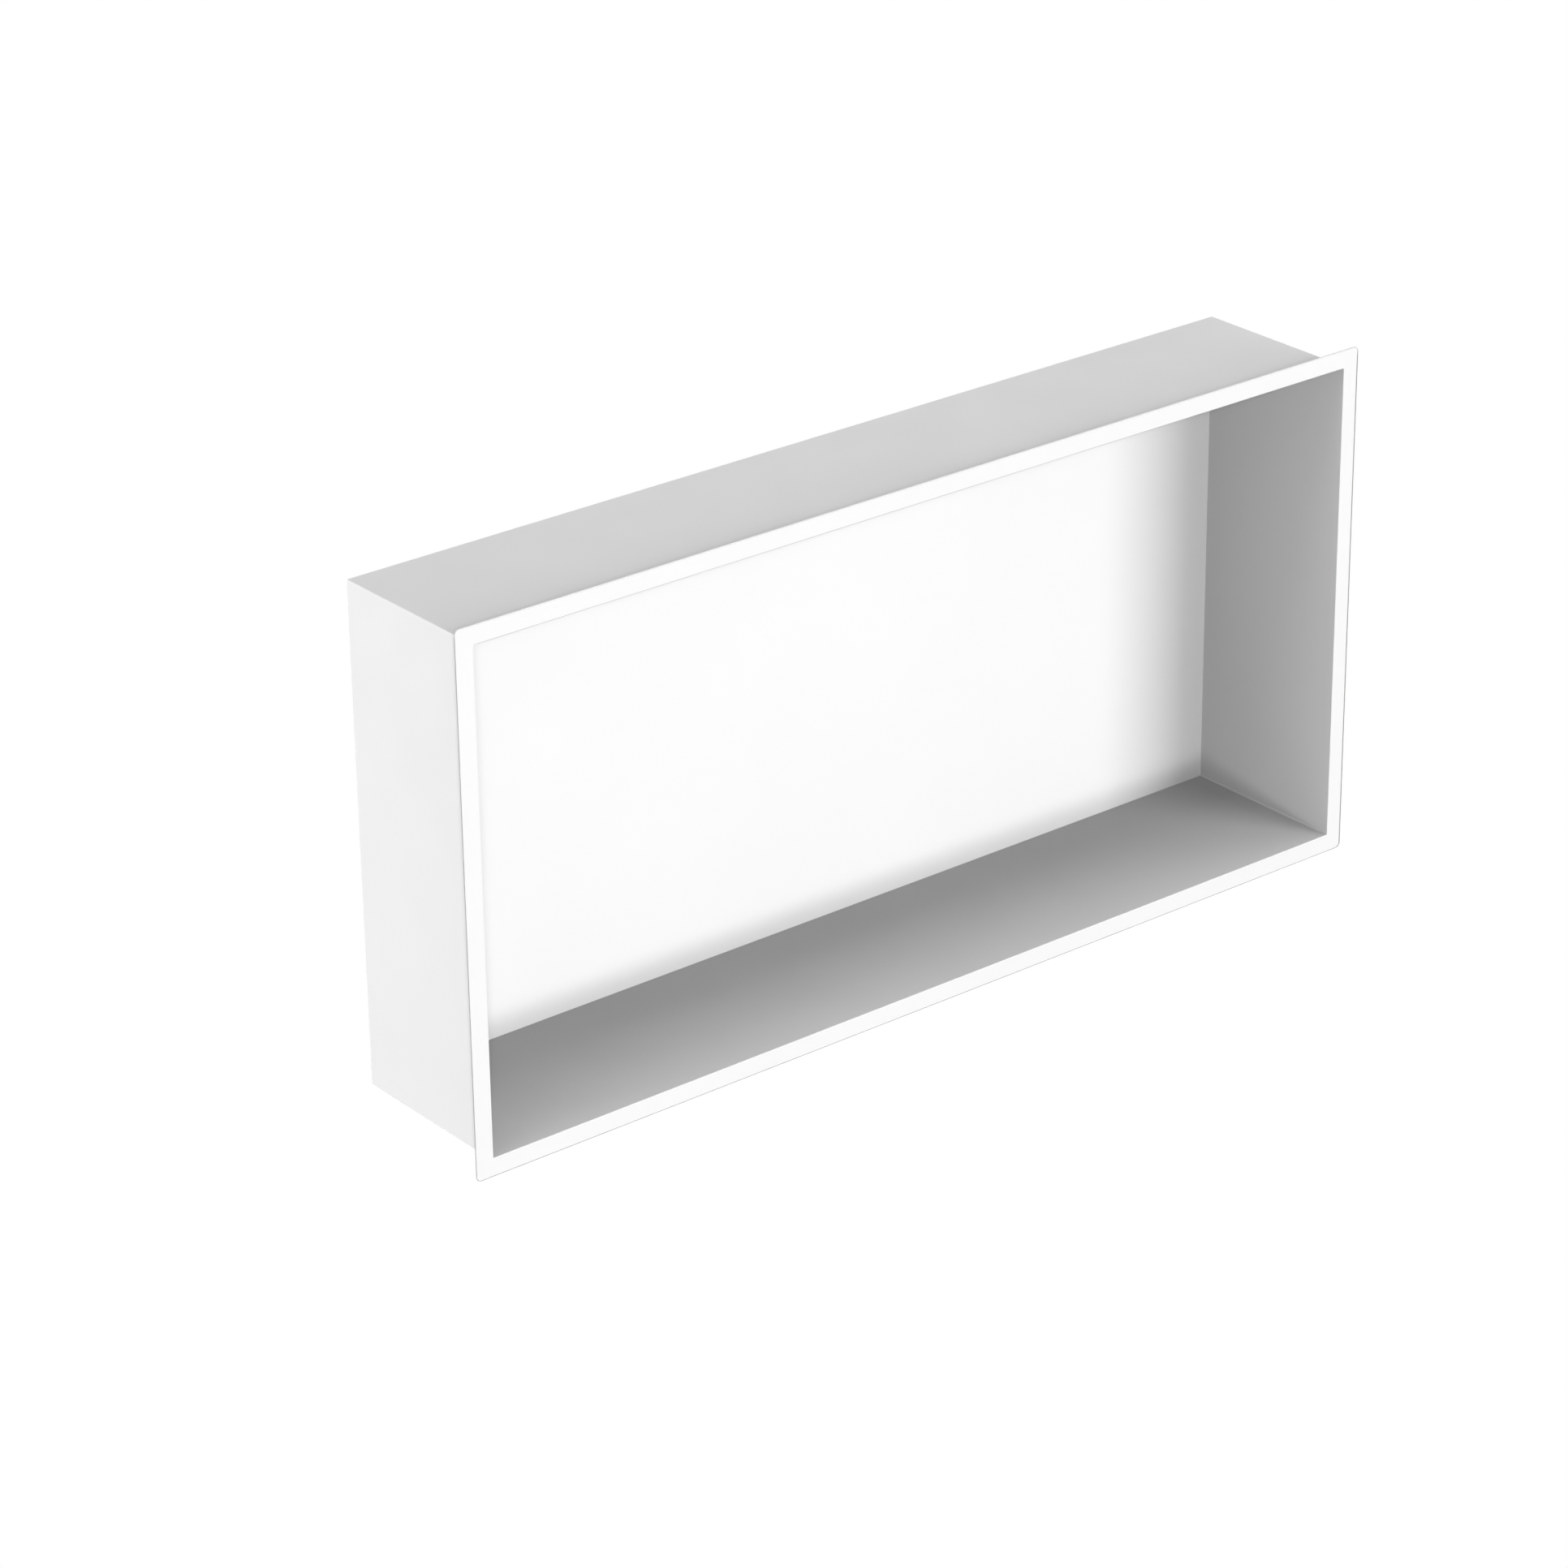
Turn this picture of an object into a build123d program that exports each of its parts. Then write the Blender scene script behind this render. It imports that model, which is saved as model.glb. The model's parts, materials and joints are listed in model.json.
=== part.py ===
from build123d import *
import os

# Shower niche insert: one steel sheet, grooved, folded into an open box with a flat rim, and welded.
# Lengths are in millimetres. X runs along the niche, Y into the wall and Z up.
# The origin is the opening's centre on the finished wall, the plane that the rim's back lies on.

# Driving dimensions
rim_outer_width = 600.0
rim_outer_height = 300.0
rim_band = 10.5  # from the opening's edge to the rim's outer edge
overall_depth = 105.0  # from the rim's front to the outside of the back panel
sheet = 1.0

# Folds, seams and edges, all crisp because the sheet is grooved along each fold
box_edge_radius = 0.6  # outside of the back panel's folds and of the ground seams
opening_edge_radius = 0.3  # outside of the folds between the walls and the rim
fold_inner_radius = 0.2  # inside of every fold
seam_weld_radius = 0.5  # fillet of weld inside the corners that run from front to back
rim_corner_radius = 3.0
rim_edge_radius = 0.4  # rounding of the cut edge, on the front and on the back
edge_round_limit = 0.45  # most of the sheet that a rounded edge may take from one side

# Sizes that follow from the driving dimensions
opening_width = rim_outer_width - 2 * rim_band
opening_height = rim_outer_height - 2 * rim_band
box_width = opening_width + 2 * sheet
box_height = opening_height + 2 * sheet
box_depth = overall_depth - sheet  # behind the rim
hollow_depth = overall_depth - sheet  # in front of the back panel
rim_edge_round = min(rim_edge_radius, edge_round_limit * sheet)

# Planes of the wall and of the rim's front, both with their normal towards the room
wall_plane = Plane.XZ
front_plane = wall_plane.offset(sheet)

# The faces that look along Y, in order from the room into the wall
RIM_FRONT, RIM_BACK, PANEL_INSIDE = range(3)


def face_along_depth(builder, place):
    """One of the faces that look along Y, by its place in that order."""
    return builder.faces().filter_by(Axis.Y).sort_by(Axis.Y)[place]


with BuildPart() as niche_body:
    # Rim, a flat band on the room's side of the wall
    with BuildSketch(wall_plane):
        RectangleRounded(rim_outer_width, rim_outer_height, rim_corner_radius)
    extrude(amount=sheet)

    # Box behind the rim, still a block, with its seams and back folds rounded
    with BuildSketch(wall_plane):
        Rectangle(box_width, box_height)
    extrude(amount=-box_depth)
    outer_seams = niche_body.edges().filter_by(Axis.Y).group_by(SortBy.LENGTH)[-1]
    back_folds = niche_body.faces().sort_by(Axis.Y)[-1].edges()
    fillet(outer_seams + back_folds, radius=box_edge_radius)

    # Hollow, from the rim's front to the inside of the back panel
    with BuildSketch(front_plane):
        RectangleRounded(opening_width, opening_height, seam_weld_radius)
    extrude(amount=-hollow_depth, mode=Mode.SUBTRACT)

    # Folds round the inside of the back panel, the opening's edge and the root of the rim
    fillet(face_along_depth(niche_body, PANEL_INSIDE).edges(), radius=fold_inner_radius)
    opening_edge = face_along_depth(niche_body, RIM_FRONT).inner_wires()[0].edges()
    fillet(opening_edge, radius=opening_edge_radius)
    rim_root = face_along_depth(niche_body, RIM_BACK).inner_wires()[0].edges()
    fillet(rim_root, radius=fold_inner_radius)

    # Cut edge of the rim
    cut_edge_front = face_along_depth(niche_body, RIM_FRONT).outer_wire().edges()
    cut_edge_back = face_along_depth(niche_body, RIM_BACK).outer_wire().edges()
    fillet(cut_edge_front + cut_edge_back, radius=rim_edge_round)

niche_body.part.label = "niche_body"

os.makedirs("parts", exist_ok=True)
export_step(niche_body.part, "parts/niche_body.step")
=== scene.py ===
import json
import math
import bpy
from mathutils import Euler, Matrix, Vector


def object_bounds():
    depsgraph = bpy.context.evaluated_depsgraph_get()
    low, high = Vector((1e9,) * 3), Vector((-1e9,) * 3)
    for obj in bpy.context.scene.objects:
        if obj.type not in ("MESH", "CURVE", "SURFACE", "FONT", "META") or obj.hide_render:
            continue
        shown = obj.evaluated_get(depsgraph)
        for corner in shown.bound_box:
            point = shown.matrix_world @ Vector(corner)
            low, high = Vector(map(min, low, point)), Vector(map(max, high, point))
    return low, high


# Shower niche insert, folded sheet steel in a white powder coat. Lengths are in metres.
# X runs along the niche, Y into the wall and Z up, from the opening's centre on the finished wall.
MM = 0.001

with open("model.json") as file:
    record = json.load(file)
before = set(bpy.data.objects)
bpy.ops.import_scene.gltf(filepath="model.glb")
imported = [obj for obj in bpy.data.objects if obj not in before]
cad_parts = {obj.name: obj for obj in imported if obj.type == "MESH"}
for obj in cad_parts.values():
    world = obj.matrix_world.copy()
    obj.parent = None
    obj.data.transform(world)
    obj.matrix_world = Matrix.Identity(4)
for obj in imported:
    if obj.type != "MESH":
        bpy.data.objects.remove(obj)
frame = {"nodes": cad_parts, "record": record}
cad_low, cad_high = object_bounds()
niche = frame["nodes"]["niche_body"]
half_width = (cad_high.x - cad_low.x) / 2
half_height = (cad_high.z - cad_low.z) / 2
openings = {opening["name"]: opening["box_m"] for opening in frame["record"]["physics"]["openings"]}
inside_low, inside_high = (Vector(corner) for corner in openings["niche_interior"])

# Coat: each pattern has a size, and a detail that says how many finer layers it carries
coat_white = 0.86
coat_specular = 0.3
cloud_size = 90 * MM
cloud_detail = 3.0
cloud_depth = 0.012  # share of the white that the clouds take away
patch_size = 30 * MM  # of more and less shine
patch_detail = 4.0
coat_roughness_low = 0.56
coat_roughness_high = 0.68
wave_size = 2.6 * MM  # gentle waves, as on a sprayed and baked coat
wave_detail = 1.0
wave_height = 0.012 * MM
grain_size = 0.5 * MM
grain_detail = 2.0
grain_height = 0.002 * MM
noise_low = 0.3  # nearly all of a noise's values lie between these two
noise_high = 0.7

# Painted shade: a fine grey line along the rim's cut edge, standing in for the shade on the edge's rounding
rim_corner_radius = 3.0 * MM  # the same as in the part's source
edge_shade_width = 0.52 * MM
edge_shade_fade = 0.3 * MM
edge_shade_shift = (0.45 * MM, 0, 0.05 * MM)  # wider by this on the right and upper edges, narrower on the others
edge_shade_depth = 0.68  # share of the white that the painted shade takes away in the line
edge_shade_on_top = 0.22  # how much of the painted shade line the upper edge has

# Painted shade: a finer grey line along the opening's upper fold, whose rounding faces down, away from the
# light
rim_band = 10.5 * MM  # the same as in the part's source
fold_shade_width = 0.35 * MM
fold_shade_fade = 0.2 * MM
fold_shade_depth = 0.45  # share of the white that the painted shade takes away in this line
fold_reach = 0.6 * MM  # how far the line goes from the rim's front into the opening
fold_end = 4 * MM  # over which the line runs out at the opening's corners

# Camera, fitted to the photo's straight edges, with its angles in degrees
aim_point = Vector((-0.06593, 0.04286, -0.01639))
camera_distance = 2.6891
camera_heading = 38.6158  # turned to the right of straight on
camera_down = 24.9946  # below level
camera_roll = -0.7054
camera_level = 90.0  # from straight down, as a new camera looks, up to level
camera_lens = 118.784  # this and the sensor in millimetres
sensor_width = 36.0

# Stage: the niche hangs at the height it has in a shower
floor_drop = 1.1
floor_reach = 14.0
floor_white = 0.5
near_glow = 0.8  # share of pure white in the floor's look under the niche
white_from = 0.3  # that share grows from this distance
white_to = 0.6  # and is the whole from this one

# World, for the light it gives: none from the room, some from behind the wall's plane
world_front = 0.0
world_behind = 0.45
world_turn = 0.3  # how far a direction leans behind that plane, of 1, where the light is full

light_bounces = 0  # the walls pass no light on, so the niche's floor stays darker than its back

# Lamps: name, azimuth from straight on, elevation, distance, width and height as seen in degrees,
# and the tone that the lamp alone gives a white surface that faces it. The key lamp is nearly in line
# with the opening's upper left corner and the camera, which hides most of its shadows.
lamps = [
    ("key_lamp", -35.6, 22.9, 9.0, 4.5, 4.5, 0.390),
    ("right_lamp", 24, 13, 9.0, 28, 24, 0.525),
    ("low_lamp", 6, -5.5, 6.0, 62, 8, 0.292),
    ("low_left_lamp", -36, -7, 6.0, 7, 6, 0.144),
    ("left_lamp", -138, -3, 3.5, 24, 24, 0.538),
    ("side_lamp", -86, -1, 3.5, 10, 30, 0.142),
    ("top_lamp", 0, 83, 3.0, 80, 16, 0.364),
    ("behind_lamp", 138, -3, 3.5, 24, 24, 0.36),
    ("under_lamp", 180, -70, 1.0, 70, 40, 0.30),
]

# Fill light in the opening: the tone that it gives a white surface that sees nothing else
fill_tone = 0.094


def add(tree, kind, **settings):
    """A new node with the given settings."""
    node = tree.nodes.new(kind)
    for name, value in settings.items():
        setattr(node, name, value)
    return node


def feed(tree, socket, source):
    """Links a socket to another node's output, or sets its value."""
    if isinstance(source, bpy.types.NodeSocket):
        tree.links.new(source, socket)
    else:
        socket.default_value = source


def feed_in_order(tree, node, sources):
    """Feeds a node's sockets from the first one on."""
    for socket, source in zip(node.inputs, sources):
        feed(tree, socket, source)


def maths(tree, operation, *sources):
    """The output of a Math node."""
    node = add(tree, "ShaderNodeMath", operation=operation)
    feed_in_order(tree, node, sources)
    return node.outputs[0]


def vector_maths(tree, operation, *sources):
    """The output of a Vector Math node, a number for LENGTH and else a vector."""
    node = add(tree, "ShaderNodeVectorMath", operation=operation)
    feed_in_order(tree, node, sources)
    return node.outputs["Value" if operation == "LENGTH" else "Vector"]


def spread(tree, value, low, high, to_low, to_high):
    """Maps low to high smoothly onto to_low to to_high, and holds the ends."""
    node = add(tree, "ShaderNodeMapRange", interpolation_type="SMOOTHSTEP")
    names = ("Value", "From Min", "From Max", "To Min", "To Max")
    for name, source in zip(names, (value, low, high, to_low, to_high)):
        feed(tree, node.inputs[name], source)
    return node.outputs["Result"]


def noise(tree, place, size, detail):
    """Noise whose waves are about as long as size."""
    node = add(tree, "ShaderNodeTexNoise")
    feed(tree, node.inputs["Vector"], place)
    node.inputs["Scale"].default_value = 1 / size
    node.inputs["Detail"].default_value = detail
    return node.outputs["Fac"]


def object_place(tree):
    """Where a point of the surface is, in the object's own metres."""
    return add(tree, "ShaderNodeTexCoord").outputs["Object"]


def axes_of(tree, vector):
    """The X, Y and Z outputs of a vector."""
    node = add(tree, "ShaderNodeSeparateXYZ")
    feed(tree, node.inputs[0], vector)
    return node.outputs


def grey(level):
    """A neutral colour."""
    return (level, level, level, 1.0)


def distance_inside(tree, place):
    """How far a point is inside the rim's outline with its round corners, seen along Y."""
    core = (half_width - rim_corner_radius, 0, half_height - rim_corner_radius)
    flat = vector_maths(tree, "MULTIPLY", place, (1, 0, 1))
    past_core = vector_maths(tree, "SUBTRACT", vector_maths(tree, "ABSOLUTE", flat), core)
    outside = vector_maths(tree, "LENGTH", vector_maths(tree, "MAXIMUM", past_core, (0, 0, 0)))
    past = axes_of(tree, past_core)
    inside = maths(tree, "MINIMUM", maths(tree, "MAXIMUM", past["X"], past["Z"]), 0.0)
    return maths(tree, "SUBTRACT", rim_corner_radius, maths(tree, "ADD", outside, inside))


def soft_line(tree, distance, width, fade, painted_shade):
    """The painted shade at full depth up to a distance of width, running out softly over fade."""
    return spread(tree, distance, width - fade / 2, width + fade / 2, painted_shade, 0.0)


def cut_edge_painted_shade(tree, place):
    """Share of the white taken away by painted shade along the rim's cut edge, in a line widest on the right
    and faint on top.
    """
    moved = vector_maths(tree, "ADD", place, edge_shade_shift)
    line = soft_line(tree, distance_inside(tree, moved), edge_shade_width, edge_shade_fade, edge_shade_depth)
    below_corners = half_height - 2 * rim_corner_radius
    under_top = spread(tree, axes_of(tree, place)["Z"], below_corners, half_height, 1.0, edge_shade_on_top)
    return maths(tree, "MULTIPLY", line, under_top)


def upper_fold_painted_shade(tree, place):
    """Share of the white taken away by painted shade along the fold between the opening's upper wall and the
    rim, whose rounding faces down.
    """
    axes = axes_of(tree, place)
    from_fold = maths(tree, "ABSOLUTE", maths(tree, "SUBTRACT", axes["Z"], half_height - rim_band))
    line = soft_line(tree, from_fold, fold_shade_width, fold_shade_fade, fold_shade_depth)
    near_front = spread(tree, axes["Y"], cad_low.y + fold_reach / 2, cad_low.y + fold_reach, 1.0, 0.0)
    corner = half_width - rim_band
    along = spread(tree, maths(tree, "ABSOLUTE", axes["X"]), corner - fold_end, corner, 1.0, 0.0)
    return maths(tree, "MULTIPLY", line, maths(tree, "MULTIPLY", near_front, along))


def coat_colour(tree, place):
    """White with faint clouds, and painted shade in grey lines along the rim's cut edge and the opening's
    upper fold.
    """
    clouds = noise(tree, place, cloud_size, cloud_detail)
    white = spread(tree, clouds, noise_low, noise_high, coat_white * (1 - cloud_depth), coat_white)
    # painted shade along the rim's cut edge and the opening's upper fold takes away from the white
    painted_shade = maths(tree, "ADD", cut_edge_painted_shade(tree, place), upper_fold_painted_shade(tree, place))
    tone = maths(tree, "MULTIPLY", white, maths(tree, "SUBTRACT", 1.0, painted_shade))
    colour = add(tree, "ShaderNodeCombineColor")
    for channel in colour.inputs:
        feed(tree, channel, tone)
    return colour.outputs["Color"]


def coat_roughness(tree, place):
    """Satin, in patches of more and less shine."""
    patches = noise(tree, place, patch_size, patch_detail)
    return spread(tree, patches, noise_low, noise_high, coat_roughness_low, coat_roughness_high)


def coat_normal(tree, place):
    """The gentle waves and the fine grain of the coat."""
    waves = maths(tree, "MULTIPLY", noise(tree, place, wave_size, wave_detail), wave_height)
    grain = maths(tree, "MULTIPLY", noise(tree, place, grain_size, grain_detail), grain_height)
    bump = add(tree, "ShaderNodeBump")
    bump.inputs["Distance"].default_value = 1.0  # the heights are in metres already
    feed(tree, bump.inputs["Height"], maths(tree, "ADD", waves, grain))
    return bump.outputs["Normal"]


def white_coat():
    """Satin white powder coat, with painted shade lines along the rim's cut edge and the opening's upper
    fold.
    """
    material = bpy.data.materials.new("white_coat_satin")
    material.use_nodes = True
    tree = material.node_tree
    shader = tree.nodes["Principled BSDF"]
    place = object_place(tree)
    feed(tree, shader.inputs["Base Color"], coat_colour(tree, place))
    feed(tree, shader.inputs["Roughness"], coat_roughness(tree, place))
    feed(tree, shader.inputs["Specular IOR Level"], coat_specular)
    feed(tree, shader.inputs["Normal"], coat_normal(tree, place))
    return material


def seen_directly(tree):
    """One for rays from the camera, off gloss and through glass, and nought for rays that carry light."""
    path = add(tree, "ShaderNodeLightPath")
    mirrored = maths(tree, "MAXIMUM", path.outputs["Is Glossy Ray"], path.outputs["Is Transmission Ray"])
    return maths(tree, "MAXIMUM", path.outputs["Is Camera Ray"], mirrored)


def mixed(tree, share, first, second):
    """Two shaders, mixed by share."""
    node = add(tree, "ShaderNodeMixShader")
    feed_in_order(tree, node, (share, first, second))
    return node.outputs["Shader"]


def pale_floor():
    """A pale floor that looks white and still takes the object's shadow."""
    material = bpy.data.materials.new("pale_floor")
    material.use_nodes = True
    tree = material.node_tree
    tree.nodes.remove(tree.nodes["Principled BSDF"])
    painted = add(tree, "ShaderNodeBsdfDiffuse")
    painted.inputs["Color"].default_value = grey(floor_white)
    white = add(tree, "ShaderNodeEmission")
    away = vector_maths(tree, "LENGTH", object_place(tree))
    glow = spread(tree, away, white_from, white_to, near_glow, 1.0)
    share = maths(tree, "MULTIPLY", seen_directly(tree), glow)
    shown = mixed(tree, share, painted.outputs["BSDF"], white.outputs["Emission"])
    feed(tree, tree.nodes["Material Output"].inputs["Surface"], shown)
    return material


def make_floor():
    """The floor, staged so that it isn't part of the object."""
    bpy.ops.mesh.primitive_plane_add(size=2 * floor_reach, location=(0, 0, -floor_drop))
    floor = bpy.context.object
    floor.name = "floor"
    floor.data.materials.append(pale_floor())


def make_world():
    """White to look at, with soft light that comes from behind the wall's plane."""
    world = bpy.data.worlds.new("studio")
    bpy.context.scene.world = world
    world.use_nodes = True
    tree = world.node_tree
    white = tree.nodes["Background"]
    white.inputs["Color"].default_value = grey(1.0)
    light = add(tree, "ShaderNodeBackground")
    light.inputs["Color"].default_value = grey(1.0)
    way = axes_of(tree, add(tree, "ShaderNodeTexCoord").outputs["Generated"])
    level = spread(tree, way["Y"], 0.0, world_turn, world_front, world_behind)
    feed(tree, light.inputs["Strength"], level)
    shown = mixed(tree, seen_directly(tree), light.outputs["Background"], white.outputs["Background"])
    feed(tree, tree.nodes["World Output"].inputs["Surface"], shown)


def direction(azimuth, elevation):
    """The way from the niche to a lamp: azimuth 0 is straight out into the room, 90 to the right."""
    around = math.radians(azimuth)
    above = math.radians(elevation)
    return Vector((math.sin(around) * math.cos(above), -math.cos(around) * math.cos(above), math.sin(above)))


def hang_lamp(name, width, height, energy, place, rear):
    """A rectangular lamp that the camera doesn't see, and that shines away from its rear."""
    data = bpy.data.lights.new(name, "AREA")
    data.shape = "RECTANGLE"
    data.size = width
    data.size_y = height
    data.energy = energy
    lamp = bpy.data.objects.new(name, data)
    bpy.context.scene.collection.objects.link(lamp)
    lamp.location = place
    lamp.rotation_euler = rear.to_track_quat("Z", "Y").to_euler()
    lamp.visible_camera = False


def make_lamp(name, azimuth, elevation, distance, wide, high, tone):
    """A lamp that faces the niche from afar."""
    width = 2 * distance * math.tan(math.radians(wide / 2))
    height = 2 * distance * math.tan(math.radians(high / 2))
    energy = tone * (math.pi * distance) ** 2
    way = direction(azimuth, elevation)
    hang_lamp(name, width, height, energy, way * distance, way)


def make_fill():
    """A faint lamp that fills the opening, so that it lights the niche's inside alone."""
    size = inside_high - inside_low
    place = (inside_low + inside_high) / 2
    place.y = inside_low.y
    energy = fill_tone * math.pi * size.x * size.z
    hang_lamp("fill_lamp", size.x, size.z, energy, place, direction(0, 0))


def make_camera():
    """The camera, at the photo's viewing angle."""
    data = bpy.data.cameras.new("camera")
    data.sensor_width = sensor_width
    data.lens = camera_lens
    camera = bpy.data.objects.new("camera", data)
    bpy.context.scene.collection.objects.link(camera)
    turned = Euler((0, 0, -math.radians(camera_heading))).to_matrix()
    tilted = Euler((math.radians(camera_level - camera_down), 0, 0)).to_matrix()
    rolled = Euler((0, 0, math.radians(camera_roll))).to_matrix()
    view = turned @ tilted @ rolled
    camera.rotation_euler = view.to_euler()
    camera.location = aim_point + view @ Vector((0, 0, camera_distance))
    bpy.context.scene.camera = camera


niche.data.materials[0] = white_coat()
make_floor()
make_world()
for lamp in lamps:
    make_lamp(*lamp)
make_fill()
make_camera()
bpy.context.scene.cycles.diffuse_bounces = light_bounces
bpy.context.scene.view_settings.view_transform = "Standard"
